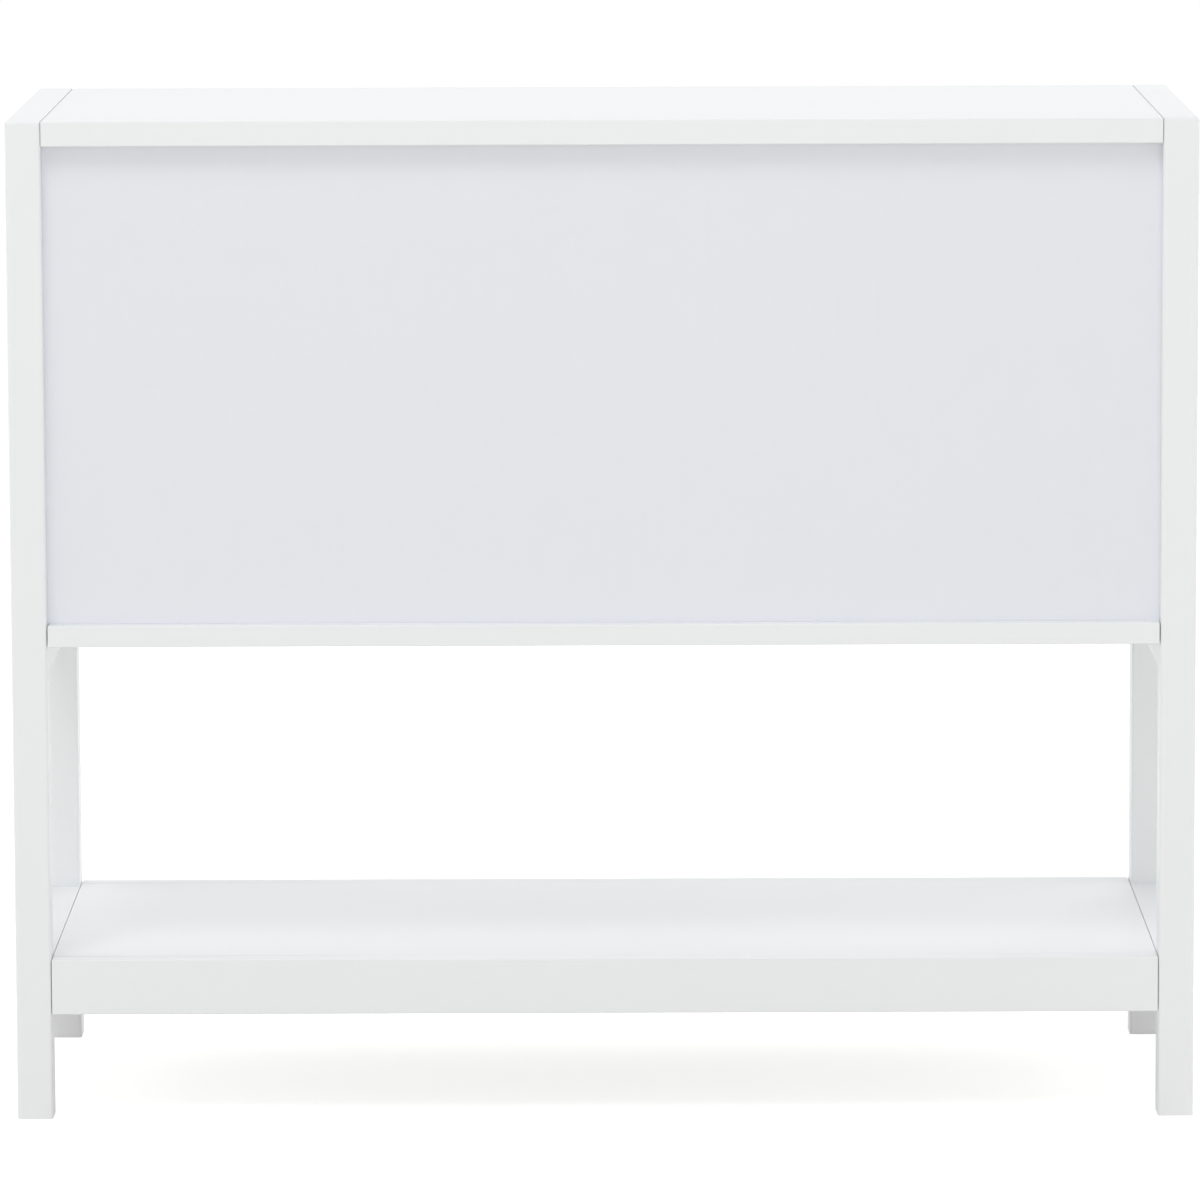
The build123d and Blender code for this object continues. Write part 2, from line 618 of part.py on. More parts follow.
flange_tip = RUNNER_SPACE - STEEL_T - FLANGE_ROOM
drawer_section = (
    (runner_x(LIP_SHORT - BOX_SIDE_T), runner_z(-STEEL_T)),
    (runner_x(STEEL_T), runner_z(-STEEL_T)),
    (runner_x(STEEL_T), runner_z(FLANGE_Z)),
    (runner_x(flange_tip), runner_z(FLANGE_Z)),
    (runner_x(flange_tip), runner_z(FLANGE_Z + STEEL_T)),
    (runner_x(0), runner_z(FLANGE_Z + STEEL_T)),
    (runner_x(0), runner_z(0)),
    (runner_x(LIP_SHORT - BOX_SIDE_T), runner_z(0)),
)
drawer_runner = along_runner(drawer_section, bends_in=(2,), bends_out=(1, 5))
rear_tip = runner_x(ROLLER_X[1] + AXLE_END_ROOM)
drawer_runner += headed_axle(runner_x(STEEL_T), rear_tip, rear_axle_y, rear_axle_z)
for share in LIP_HOLE_SHARES:
    lip_spot = (runner_x(-BOX_SIDE_T / 2), runner_y(share), runner_z(-STEEL_T / 2))
    drawer_runner -= rod("Z", lip_spot, RUNNER_HOLE_R, STEEL_T)

web_x = RUNNER_SPACE - STEEL_T
channel_tip = STEEL_T + CHANNEL_CLEAR
cabinet_section = (
    (runner_x(channel_tip), runner_z(TRACK_RISE - STEEL_T)),
    (runner_x(RUNNER_SPACE), runner_z(TRACK_RISE - STEEL_T)),
    (runner_x(RUNNER_SPACE), runner_z(CHANNEL_TOP_Z)),
    (runner_x(channel_tip), runner_z(CHANNEL_TOP_Z)),
    (runner_x(channel_tip), runner_z(CHANNEL_TOP_Z - STEEL_T)),
    (runner_x(web_x), runner_z(CHANNEL_TOP_Z - STEEL_T)),
    (runner_x(web_x), runner_z(TRACK_RISE)),
    (runner_x(channel_tip), runner_z(TRACK_RISE)),
)
cabinet_runner = along_runner(cabinet_section, bends_in=(5, 6), bends_out=(1, 2))
cut_end = front_axle_y + ROLLER_R + CHANNEL_CUT_ROOM
cut_z = (runner_z(TRACK_RISE - STEEL_T), runner_z(CHANNEL_TOP_Z))
cabinet_runner -= slab((runner_x(channel_tip), runner_x(web_x)), (RUNNER_Y[0], cut_end), cut_z)

# The channel's closed end stops the rear roller as the drawer shuts, and a lug stops it at full travel
channel_x = (runner_x(channel_tip), runner_x(web_x))
end_z = (runner_z(TRACK_RISE), runner_z(CHANNEL_TOP_Z - STEEL_T))
cabinet_runner += slab(channel_x, (RUNNER_Y[1] - STEEL_T, RUNNER_Y[1]), end_z)
lug_end = rear_axle_y - TRAVEL - ROLLER_R - STOP_ROOM
lug_z = (runner_z(TRACK_RISE), runner_z(TRACK_RISE + STOP_LUG_H))
cabinet_runner += slab(channel_x, (lug_end - STEEL_T, lug_end), lug_z)

# Screw holes through the channel's web, with a slot for setting the height between them
web_span = (runner_x(web_x), runner_x(RUNNER_SPACE))
web_mid = (web_span[0] + web_span[1]) / 2
hole_z = (end_z[0] + end_z[1]) / 2
slot_z = (hole_z - RUNNER_SLOT_L / 2, hole_z + RUNNER_SLOT_L / 2)
for share in CHANNEL_HOLE_SHARES:
    cabinet_runner -= rod("X", (web_mid, runner_y(share), hole_z), RUNNER_HOLE_R, STEEL_T)
slot_y = runner_y(CHANNEL_SLOT_SHARE)
cabinet_runner -= slab(web_span, (slot_y - RUNNER_HOLE_R, slot_y + RUNNER_HOLE_R), slot_z)
for z in slot_z:
    cabinet_runner -= rod("X", (web_mid, slot_y, z), RUNNER_HOLE_R, STEEL_T)

front_tip = runner_x(ROLLER_X[0] - AXLE_END_ROOM)
cabinet_runner += headed_axle(runner_x(web_x), front_tip, front_axle_y, front_axle_z)

front_roller = roller(front_axle_y, front_axle_z)
rear_roller = roller(rear_axle_y, rear_axle_z)


def pair(piece):
    """A right-hand piece and its left-hand copy."""
    return [piece, flip(piece)]


# Write every node

os.makedirs("parts", exist_ok=True)

for name, piece in (
    ("front_leg", leg(-1)),
    ("back_leg", leg(1)),
    ("top_rail", top_rail),
    ("cabinet_rail", cabinet_rail),
    ("shelf_rail", shelf_rail),
    ("side_panel", side_panel),
):
    save("right_" + name, piece)
    save("left_" + name, flip(piece))

save("table_top", table_top)
save("cabinet_bottom", cabinet_bottom)
save("back_panel", back_panel)
save("centre_divider", centre_divider)
save("lower_shelf", lower_shelf)
save("shelf_front_apron", apron("front"))
save("shelf_back_apron", apron("back"))

pegs = []
for place in frame_dowels + end_dowel_places:
    pegs += pair(dowel(place))
for place in divider_dowels + shelf_long_dowels["front"] + shelf_long_dowels["back"]:
    pegs.append(dowel(place))
save("wooden_dowels", *pegs)

bolts = []
locks = []
for places, thickness in ((top_cams, TOP_T), (bottom_cams, BOTTOM_T), (apron_cams.values(), APRON_T)):
    for place in places:
        bolts += pair(place * cam_bolt())
        locks += pair(place * cam_lock(thickness / 2))
save("cam_bolts", *bolts)
save("cam_locks", *locks)
save("divider_screws", *[divider_screw(y) for y in divider_ys])

channels = []
for row, row_name in enumerate(ROWS):
    for side_name, side in SIDES:
        height = BAY_Z[0] + FRONT_GAP + row * ROW_STEP
        spot = Pos(side * BAY_X, Y_FRONT + FRONT_SETBACK, height)
        drawer = row_name + "_" + side_name + "_drawer"
        save(drawer + "_front", spot * drawer_front)
        save(drawer + "_right_side", spot * drawer_side)
        save(drawer + "_left_side", spot * flip(drawer_side))
        save(drawer + "_back", spot * drawer_back)
        save(drawer + "_bottom", spot * drawer_tray)
        save(drawer + "_knob", spot * knob())
        save(drawer + "_runners", *[spot * piece for piece in pair(drawer_runner)])
        save(drawer + "_rear_rollers", *[spot * piece for piece in pair(rear_roller)])
        save(drawer + "_front_rollers", *[spot * piece for piece in pair(front_roller)])
        channels += [spot * piece for piece in pair(cabinet_runner)]
save("cabinet_runners", *channels)
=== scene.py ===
import itertools
import math
from collections import namedtuple

import bmesh
import bpy
from bpy.props import FloatProperty, FloatVectorProperty, PointerProperty
from mathutils import Matrix, Vector


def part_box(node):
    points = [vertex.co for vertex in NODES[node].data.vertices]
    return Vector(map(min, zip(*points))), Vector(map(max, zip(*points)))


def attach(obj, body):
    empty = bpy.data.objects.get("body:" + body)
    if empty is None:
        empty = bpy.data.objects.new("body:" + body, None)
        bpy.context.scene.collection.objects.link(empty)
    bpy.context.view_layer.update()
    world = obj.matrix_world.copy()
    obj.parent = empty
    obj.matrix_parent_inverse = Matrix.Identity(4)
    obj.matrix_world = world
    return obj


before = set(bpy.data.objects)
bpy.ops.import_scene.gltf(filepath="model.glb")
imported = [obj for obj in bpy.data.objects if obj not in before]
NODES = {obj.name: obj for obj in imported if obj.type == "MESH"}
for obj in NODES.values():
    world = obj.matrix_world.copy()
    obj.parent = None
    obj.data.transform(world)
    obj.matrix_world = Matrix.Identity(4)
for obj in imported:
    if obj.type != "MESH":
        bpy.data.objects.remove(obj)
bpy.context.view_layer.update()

bl_info = {
    "name": "White console table",
    "version": (1, 0, 0),
    "blender": (4, 5, 0),
    "location": "View3D > Sidebar > Console",
    "description": "Finishes, small fixings and studio for a white console table with four drawers",
    "category": "Object",
}

ROWS = ("lower", "upper")
SIDES = ("left", "right")
DRAWERS = [row + "_" + side + "_drawer" for row in ROWS for side in SIDES]
MM = 0.001

# Places of the screws, as shares of a runner's length and of a drawer bottom's width
CHANNEL_SCREWS = (0.16, 0.55, 0.91)
LIP_SCREWS = (0.10, 0.50, 0.90)
BOTTOM_SCREWS = (0.12, 0.50, 0.88)

# Each screw head is turned this many degrees further than the one before
HEAD_TURN = 41.0
head_count = itertools.count()

# Edges of a head that turn by more degrees than this are shaded sharp
HEAD_CREASE = 32.0

# The six lamps: place and side in metres, power in watts, and whether gloss shows them
Softbox = namedtuple("Softbox", "name place side power shows_in_gloss")
SOFTBOXES = (
    Softbox("key_softbox", (1.1, 2.4, 4.0), 1.6, 38.0, True),
    Softbox("back_softbox", (-0.6, 4.2, 0.9), 2.0, 15.0, True),
    Softbox("left_softbox", (-3.0, -0.4, 1.25), 1.8, 15.0, True),
    Softbox("right_softbox", (3.0, -0.4, 1.25), 1.8, 13.0, True),
    Softbox("front_softbox", (-0.6, -2.4, 2.6), 2.0, 7.0, False),
    Softbox("low_front_softbox", (-0.5, -2.9, 1.75), 2.0, 18.5, False),
)
LAMP_TARGET = Vector((0, 0, 0.45))

# The room's light: its share from every side, and what is added at the horizon
ROOM_EVEN = 0.93
ROOM_HORIZON = 0.36

# Width in millimetres of the sensor that the lens is given for
SENSOR_WIDTH = 36.0


def middle(node):
    """The centre of a CAD node's box."""
    low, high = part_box(node)
    return (low + high) / 2


# Shader maths

class Value:
    """A shader socket used as a number. Each sum or product of values adds one Math node."""

    def __init__(self, nodes, socket):
        self.nodes = nodes
        self.socket = socket

    def math(self, operation, *values):
        """One Math node on the values given."""
        return self.nodes.add("ShaderNodeMath", {"operation": operation}, dict(enumerate(values)))

    def __add__(self, other):
        return self.math("ADD", self, other)

    def __radd__(self, other):
        return self.math("ADD", other, self)

    def __sub__(self, other):
        return self.math("SUBTRACT", self, other)

    def __rsub__(self, other):
        return self.math("SUBTRACT", other, self)

    def __mul__(self, other):
        return self.math("MULTIPLY", self, other)

    def __rmul__(self, other):
        return self.math("MULTIPLY", other, self)

    def __pow__(self, other):
        return self.math("POWER", self, other)

    def __rpow__(self, other):
        return self.math("POWER", other, self)

    def __abs__(self):
        return self.math("ABSOLUTE", self)

    def sine(self):
        """The sine of a value in radians."""
        return self.math("SINE", self)

    def or_more(self, other):
        """The larger of two values."""
        return self.math("MAXIMUM", self, other)

    def beside(self, output):
        """Another output of the same node."""
        return Value(self.nodes, self.socket.node.outputs[output])


class Nodes:
    """A node tree that nodes are added to."""

    def __init__(self, tree):
        self.tree = tree

    def add(self, kind, settings, sockets, output=0):
        """One node: its type, its settings, the values or links of its sockets, and the output wanted."""
        node = self.tree.nodes.new(kind)
        for key, setting in settings.items():
            setattr(node, key, setting)
        for key, value in sockets.items():
            if isinstance(value, Value):
                self.tree.links.new(value.socket, node.inputs[key])
            else:
                node.inputs[key].default_value = value
        if output is None:
            return None
        return Value(self, node.outputs[output])

    def place(self):
        """Object coordinates, in metres in the table's frame."""
        return self.add("ShaderNodeTexCoord", {}, {}, "Object")

    def axes(self, vector):
        """The three coordinates of a vector."""
        x = self.add("ShaderNodeSeparateXYZ", {}, {0: vector})
        return [x, x.beside("Y"), x.beside("Z")]

    def stretched(self, vector, scale):
        """The place with each axis scaled, for a pattern that runs one way."""
        return self.add("ShaderNodeMapping", {}, {"Vector": vector, "Scale": scale})

    def noise(self, vector, scale=1.0, detail=2.0, roughness=0.5):
        """Cloudy noise from 0 to 1, finer with a larger scale."""
        sockets = {"Vector": vector, "Scale": scale, "Detail": detail, "Roughness": roughness}
        return self.add("ShaderNodeTexNoise", {}, sockets)

    def mix(self, share, first, second):
        """A colour between two others."""
        sockets = {0: share, 6: first, 7: second}
        return self.add("ShaderNodeMix", {"data_type": "RGBA"}, sockets, 2)

    def bump(self, height, strength, distance):
        """A normal that shows a height, over a distance in metres."""
        sockets = {"Height": height, "Strength": strength, "Distance": distance}
        return self.add("ShaderNodeBump", {}, sockets)

    def ramp(self, value, start, end):
        """0 at the start and before it, 1 at the end and past it, smooth between."""
        settings = {"interpolation_type": "SMOOTHSTEP"}
        sockets = {"Value": value, "From Min": start, "From Max": end, "To Min": 0.0, "To Max": 1.0}
        return self.add("ShaderNodeMapRange", settings, sockets)

    def seen(self):
        """1 for what the camera sees straight, in gloss or through glass, 0 for light that scatters."""
        camera = self.add("ShaderNodeLightPath", {}, {}, "Is Camera Ray")
        glossy = camera.beside("Is Glossy Ray")
        through = camera.beside("Is Transmission Ray")
        return camera.or_more(glossy).or_more(through)


class Finish(Nodes):
    """A new material with one Principled shader."""

    def __init__(self, name, **fixed):
        self.material = bpy.data.materials.new(name)
        self.material.use_nodes = True
        super().__init__(self.material.node_tree)
        self.shader = self.tree.nodes["Principled BSDF"]
        for socket, value in fixed.items():
            self.shader.inputs[socket.replace("_", " ")].default_value = value

    def feed(self, socket, value):
        """Link a value to a socket of the shader."""
        self.tree.links.new(value.socket, self.shader.inputs[socket])

    def shades(self, tone, colour, dark, light):
        """A colour that goes from its dark share to its light share with the tone."""
        return self.mix(tone, rgba(colour, dark), rgba(colour, light))


def rgba(colour, share=1.0):
    """A colour with full alpha, scaled by a share."""
    return (colour[0] * share, colour[1] * share, colour[2] * share, 1.0)


# Finishes, each named for the material slot that it belongs to

def shelf_joint_shade(paint, place):
    """Painted shade along the low shelf's joint lines with its aprons, towards one end of the table."""
    low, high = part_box("lower_shelf")
    line_core, line_edge = 0.4 * MM, 1.3 * MM
    skin_core, skin_edge = 2 * MM, 4 * MM
    end_margin = 1 * MM
    # The painted shade is nil up to the first share of the way to the shelf's end and full past the second
    unshaded_to, shaded_from = 0.34 * high.x, 0.72 * high.x
    x, y, z = paint.axes(place)
    off_joint = abs(abs(y - (low.y + high.y) / 2) - (high.y - low.y) / 2)
    in_joint = paint.ramp(off_joint, line_edge, line_core)
    at_top = paint.ramp(abs(z - high.z), skin_edge, skin_core)
    on_shelf = paint.ramp(x, high.x, high.x - end_margin)
    shaded_end = paint.ramp(x, unshaded_to, shaded_from)
    return in_joint * at_top * on_shelf * shaded_end


def white_lacquer(colours):
    """Satin paint, sprayed: a fine peel, faint clouding and a few specks of dust under the coat, with
    painted shade along the low shelf's joint lines.
    """
    paint = Finish("white_lacquer_satin", IOR=1.46, Coat_Roughness=0.22)
    place = paint.place()
    clouds = paint.noise(place, scale=3.0, detail=3.0)
    drift = paint.noise(place, scale=28.0, detail=4.0, roughness=0.6)
    peel = paint.noise(place, scale=620.0, roughness=0.55)
    wave = paint.noise(place, scale=85.0)
    specks = paint.ramp(paint.noise(place, scale=330.0, detail=1.0), 0.74, 0.80)
    white = paint.shades(clouds * 0.65 + drift * 0.35, colours.lacquer, 0.985, 1.012)
    # Painted shade: the lacquer is darkened along the low shelf's joint lines, where shade falls
    joint_shade_depth, joint_shade_tone = 0.36, 0.35
    painted_joint_shade = shelf_joint_shade(paint, place) * joint_shade_depth
    paint.feed("Base Color", paint.mix(painted_joint_shade, white, rgba(colours.lacquer, joint_shade_tone)))
    paint.feed("Roughness", 0.38 + 0.12 * drift + 0.06 * peel)
    paint.feed("Coat Weight", 0.04 + 0.06 * clouds)
    height = peel * 0.55 + wave * 0.8 + specks * 0.35
    paint.feed("Normal", paint.bump(height, strength=0.10, distance=0.12 * MM))
    return paint.material


def back_board(colours):
    """Thin painted hardboard: cooler than the lacquer, with a fine mottle and a rolled-on stipple."""
    board = Finish("back_board_painted", IOR=1.45)
    place = board.place()
    mottle = board.noise(place, scale=22.0, detail=4.0, roughness=0.6)
    streak = board.noise(board.stretched(place, (240.0, 1.0, 9.0)), detail=3.0)
    stipple = board.noise(place, scale=950.0, roughness=0.6)
    paint = board.shades(mottle * 0.6 + streak * 0.4, colours.back_board, 0.982, 1.014)
    board.feed("Base Color", paint)
    board.feed("Roughness", 0.50 + 0.14 * mottle + 0.08 * stipple)
    height = stipple * 0.7 + streak * 0.3
    board.feed("Normal", board.bump(height, strength=0.12, distance=0.10 * MM))
    return board.material


def drawer_board(colours):
    """White foil on drawer sides and backs, pressed with a fine straight grain along the board."""
    foil = Finish("drawer_board_foil", IOR=1.47)
    place = foil.place()
    grain = foil.noise(foil.stretched(place, (26.0, 12.0, 900.0)), detail=4.0, roughness=0.62)
    pores = foil.ramp(foil.noise(foil.stretched(place, (90.0, 40.0, 1500.0))), 0.60, 0.72)
    clouds = foil.noise(place, scale=7.0, detail=3.0)
    shade = foil.shades(grain * 0.55 + clouds * 0.45, colours.drawer_board, 0.95, 1.03)
    foil.feed("Base Color", foil.mix(pores * 0.35, shade, rgba(colours.drawer_board, 0.86)))
    foil.feed("Roughness", 0.42 + 0.16 * grain)
    foil.feed("Normal", foil.bump(grain - pores * 0.6, strength=0.14, distance=0.10 * MM))
    return foil.material


def drawer_hardboard(colours):
    """Hardboard drawer bottom: white print above, bare brown fibre with a screen pattern below."""
    sheet = Finish("drawer_hardboard_printed", IOR=1.46)
    place = sheet.place()
    x, y = sheet.axes(place)[:2]
    up = sheet.axes(sheet.add("ShaderNodeNewGeometry", {}, {}, "Normal"))[2]
    bare = sheet.ramp(up, 0.3, -0.3)
    screen_pitch = 1.4 * MM
    turns = 2 * math.pi / screen_pitch
    screen = (x * turns).sine() * (y * turns).sine() * 0.5 + 0.5
    fibre = sheet.noise(sheet.stretched(place, (160.0, 260.0, 200.0)), detail=5.0, roughness=0.65)
    clouds = sheet.noise(place, scale=9.0, detail=3.0)
    brown = sheet.shades(fibre * 0.7 + screen * 0.3, colours.bare_fibre, 0.72, 1.25)
    white = sheet.shades(clouds * 0.7 + fibre * 0.3, colours.drawer_board, 0.95, 1.02)
    sheet.feed("Base Color", sheet.mix(bare, white, brown))
    sheet.feed("Roughness", 0.42 + 0.10 * fibre + 0.36 * bare)
    height = fibre * (0.15 + 0.35 * bare) + screen * bare
    sheet.feed("Normal", sheet.bump(height, strength=0.35, distance=0.20 * MM))
    return sheet.material


def knob_metal(colours):
    """Satin nickel, turned: rings round each knob's own axis, with a little tarnish in the waist."""
    metal = Finish("knob_metal_turned", Metallic=1.0)
    place = metal.place()
    x, y, z = metal.axes(place)
    near_x = middle(DRAWERS[1] + "_knob").x
    low_z = middle(DRAWERS[0] + "_knob").z
    high_z = middle(DRAWERS[-1] + "_knob").z
    across = abs(x) - near_x
    upright = abs(z - (low_z + high_z) / 2) - (high_z - low_z) / 2
    radius = (across * across + upright * upright) ** 0.5
    ring_scale, step_scale = 5200.0, 2600.0
    turned = metal.add("ShaderNodeCombineXYZ", {}, {0: radius * ring_scale, 1: y * step_scale})
    rings = metal.noise(turned, detail=3.0, roughness=0.6)
    clouds = metal.noise(place, scale=90.0, detail=3.0)
    front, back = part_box(DRAWERS[0] + "_knob")
    waist = metal.ramp(y, front.y + 9 * MM, back.y - 1 * MM)
    polished = metal.shades(clouds, colours.knob, 0.94, 1.05)
    metal.feed("Base Color", metal.mix(waist * 0.45, polished, rgba(colours.knob, 0.62)))
    metal.feed("Roughness", 0.20 + 0.14 * rings + 0.08 * clouds)
    metal.feed("Normal", metal.bump(rings, strength=0.16, distance=0.06 * MM))
    return metal.material


def runner_steel(colours):
    """Pressed steel under a baked white coat, with a coarser peel than the lacquer's."""
    coat = Finish("runner_steel_coated", IOR=1.5)
    place = coat.place()
    peel = coat.noise(place, scale=480.0, roughness=0.55)
    rub = coat.noise(coat.stretched(place, (300.0, 6.0, 300.0)), detail=4.0, roughness=0.6)
    rubbed = coat.ramp(rub, 0.60, 0.74)
    shade = coat.shades(peel, colours.runner, 0.97, 1.02)
    coat.feed("Base Color", coat.mix(rubbed * 0.30, shade, rgba(colours.runner, 0.78)))
    coat.feed("Roughness", 0.34 + 0.10 * peel + 0.10 * rubbed)
    coat.feed("Normal", coat.bump(peel - rubbed * 0.2, strength=0.20, distance=0.15 * MM))
    return coat.material


def roller_nylon(colours):
    """Natural nylon: milky, a little yellow, scuffed where it rolls."""
    nylon = Finish("roller_nylon_natural", IOR=1.53, Subsurface_Weight=0.12, Subsurface_Scale=0.002)
    place = nylon.place()
    milk = nylon.noise(place, scale=160.0, detail=3.0)
    scuff = nylon.noise(nylon.stretched(place, (1600.0, 220.0, 220.0)), detail=3.0, roughness=0.6)
    nylon.feed("Base Color", nylon.shades(milk, colours.nylon, 0.93, 1.04))
    nylon.feed("Roughness", 0.36 + 0.22 * scuff)
    nylon.feed("Normal", nylon.bump(scuff, strength=0.12, distance=0.05 * MM))
    return nylon.material


def beech(colours):
    """Pale dowel wood with short dark flecks."""
    wood = Finish("beech_dowel", IOR=1.45)
    place = wood.place()
    growth = wood.noise(place, scale=120.0, detail=4.0, roughness=0.6)
    fleck = wood.ramp(wood.noise(wood.stretched(place, (700.0, 220.0, 700.0))), 0.60, 0.70)
    shade = wood.shades(growth, colours.beech, 0.82, 1.12)
    wood.feed("Base Color", wood.mix(fleck * 0.6, shade, rgba(colours.beech, 0.55)))
    wood.feed("Roughness", 0.55 + 0.15 * growth)
    wood.feed("Normal", wood.bump(growth - fleck * 0.5, strength=0.25, distance=0.15 * MM))
    return wood.material


def fitting_steel(colours):
    """Bright zinc-plated steel with a faint crystal pattern."""
    steel = Finish("fitting_steel_plated", Metallic=1.0)
    place = steel.place()
    grains = steel.add("ShaderNodeTexVoronoi", {}, {"Vector": place, "Scale": 900.0}, "Color")
    crystal = steel.axes(grains)[0]
    haze = steel.noise(place, scale=220.0, detail=3.0)
    plate = steel.shades(crystal * 0.4 + haze * 0.6, colours.fixing, 0.86, 1.08)
    steel.feed("Base Color", plate)
    steel.feed("Roughness", 0.22 + 0.12 * crystal + 0.10 * haze)
    steel.feed("Normal", steel.bump(haze, strength=0.08, distance=0.05 * MM))
    return steel.material


def fitting_zinc(colours):
    """Die-cast zinc: dull and grainy, darker in its pits."""
    zinc = Finish("fitting_zinc_cast", Metallic=1.0)
    place = zinc.place()
    cast = zinc.noise(place, scale=750.0, detail=4.0, roughness=0.65)
    pits = zinc.ramp(zinc.noise(place, scale=420.0), 0.62, 0.72)
    shade = zinc.shades(cast, colours.fixing, 0.62, 0.86)
    zinc.feed("Base Color", zinc.mix(pits * 0.6, shade, rgba(colours.fixing, 0.34)))
    zinc.feed("Roughness", 0.42 + 0.16 * cast)
    zinc.feed("Normal", zinc.bump(cast - pits, strength=0.22, distance=0.10 * MM))
    return zinc.material


RECIPES = {
    recipe.__name__: recipe
    for recipe in (
        white_lacquer,
        back_board,
        drawer_board,
        drawer_hardboard,
        knob_metal,
        runner_steel,
        roller_nylon,
        beech,
        fitting_steel,
        fitting_zinc,
    )
}
made_finishes = {}


def finish(slot):
    """The finished material of a slot, made once."""
    if slot not in made_finishes:
        made_finishes[slot] = RECIPES[slot](bpy.context.scene.console_colours)
    return made_finishes[slot]


def paint_nodes(slot, names):
    """Give CAD nodes the finish of a slot."""
    for name in names:
        for holder in NODES[name].material_slots:
            holder.material = finish(slot)


def per_drawer(*endings):
    """The names of each drawer's nodes with these endings."""
    return [drawer + "_" + ending for drawer in DRAWERS for ending in endings]


# Small fixings

def cross_head(radius, height, recess):
    """A domed head with a cross recess. Its seat is at the origin and it faces +Z."""
    cells = 7
    cell = 2 / cells
    arm_cells = 2.5
    rim_share = 0.55
    recess_taper = 0.72
    shape = bmesh.new()
    bmesh.ops.create_grid(shape, x_segments=cells, y_segments=cells, size=1.0)
    arms = []
    for face in shape.faces:
        centre = face.calc_center_median()
        across = sorted((abs(centre.x), abs(centre.y)))
        if across[0] < cell / 2 and across[1] < arm_cells * cell:
            arms.append(face)
    for vert in shape.verts:
        x, y = vert.co.x, vert.co.y
        disc = Vector((x * math.sqrt(1 - y * y / 2), y * math.sqrt(1 - x * x / 2)))
        rise = 1 - (1 - rim_share) * disc.length_squared
        vert.co = (disc.x * radius, disc.y * radius, rise * height)
    arm_edges = [edge for edge in shape.edges if any(face in arms for face in edge.link_faces)]
    sunk = bmesh.ops.extrude_face_region(shape, geom=arms + arm_edges)["geom"]
    sunk_verts = [item for item in sunk if isinstance(item, bmesh.types.BMVert)]
    bmesh.ops.scale(shape, verts=sunk_verts, vec=(recess_taper, recess_taper, 1.0))
    bmesh.ops.translate(shape, verts=sunk_verts, vec=(0, 0, -recess))
    rim = [edge for edge in shape.edges if edge.is_boundary]
    for item in bmesh.ops.extrude_edge_only(shape, edges=rim)["geom"]:
        if isinstance(item, bmesh.types.BMVert):
            item.co.z = 0
    bmesh.ops.holes_fill(shape, edges=[edge for edge in shape.edges if edge.is_boundary])
    bmesh.ops.recalc_face_normals(shape, faces=shape.faces)
    return shape


def fix_heads(context, name, body, slot, kind, seats):
    """One piece of like heads, of the sizes given for their kind. Each seat is a point and a facing."""
    sizes = context.scene.console_sizes
    single = bpy.data.meshes.new(name + "_single")
    head = cross_head(*[getattr(sizes, kind + ending) for ending in ("_r", "_h", "_recess")])
    head.to_mesh(single)
    head.free()
    heads = bmesh.new()
    for point, facing in seats:
        copy = single.copy()
        turn = Matrix.Rotation(math.radians(HEAD_TURN * next(head_count)), 4, "Z")
        aim = Vector(facing).to_track_quat("Z", "Y").to_matrix().to_4x4()
        copy.transform(Matrix.Translation(point) @ aim @ turn)
        heads.from_mesh(copy)
        bpy.data.meshes.remove(copy)
    bpy.data.meshes.remove(single)
    mesh = bpy.data.meshes.new(name)
    heads.to_mesh(mesh)
    heads.free()
    mesh.shade_smooth()
    mesh.set_sharp_from_angle(angle=math.radians(HEAD_CREASE))
    mesh.materials.append(finish(slot))
    piece = bpy.data.objects.new(name, mesh)
    context.scene.collection.objects.link(piece)
    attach(piece, body)


def drawer_sides(drawer):
    """For each side of a drawer: its way from the middle, outer and inner X, and its box's corners."""
    for side, way in zip(SIDES, (-1, 1)):
        low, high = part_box(drawer + "_" + side + "_side")
        outer, inner = (high.x, low.x) if way > 0 else (low.x, high.x)
        yield way, outer, inner, low, high


def spread(low, high, shares):
    """Places between two ends, given as shares of the way."""
    return [low + share * (high - low) for share in shares]


# Sizes and colours that a user would change

def length(name, description, default):
    """A size in metres."""
    return FloatProperty(
        name=name, description=description, default=default, min=0.0, unit="LENGTH", precision=5
    )


def angle(name, description, degrees):
    """A turn, given in degrees."""
    return FloatProperty(
        name=name, description=description, default=math.radians(degrees), subtype="ANGLE"
    )


def tint(name, description, default):
    """A colour."""
    return FloatVectorProperty(
        name=name, description=description, default=default, size=3, min=0.0, max=1.0, subtype="COLOR"
    )


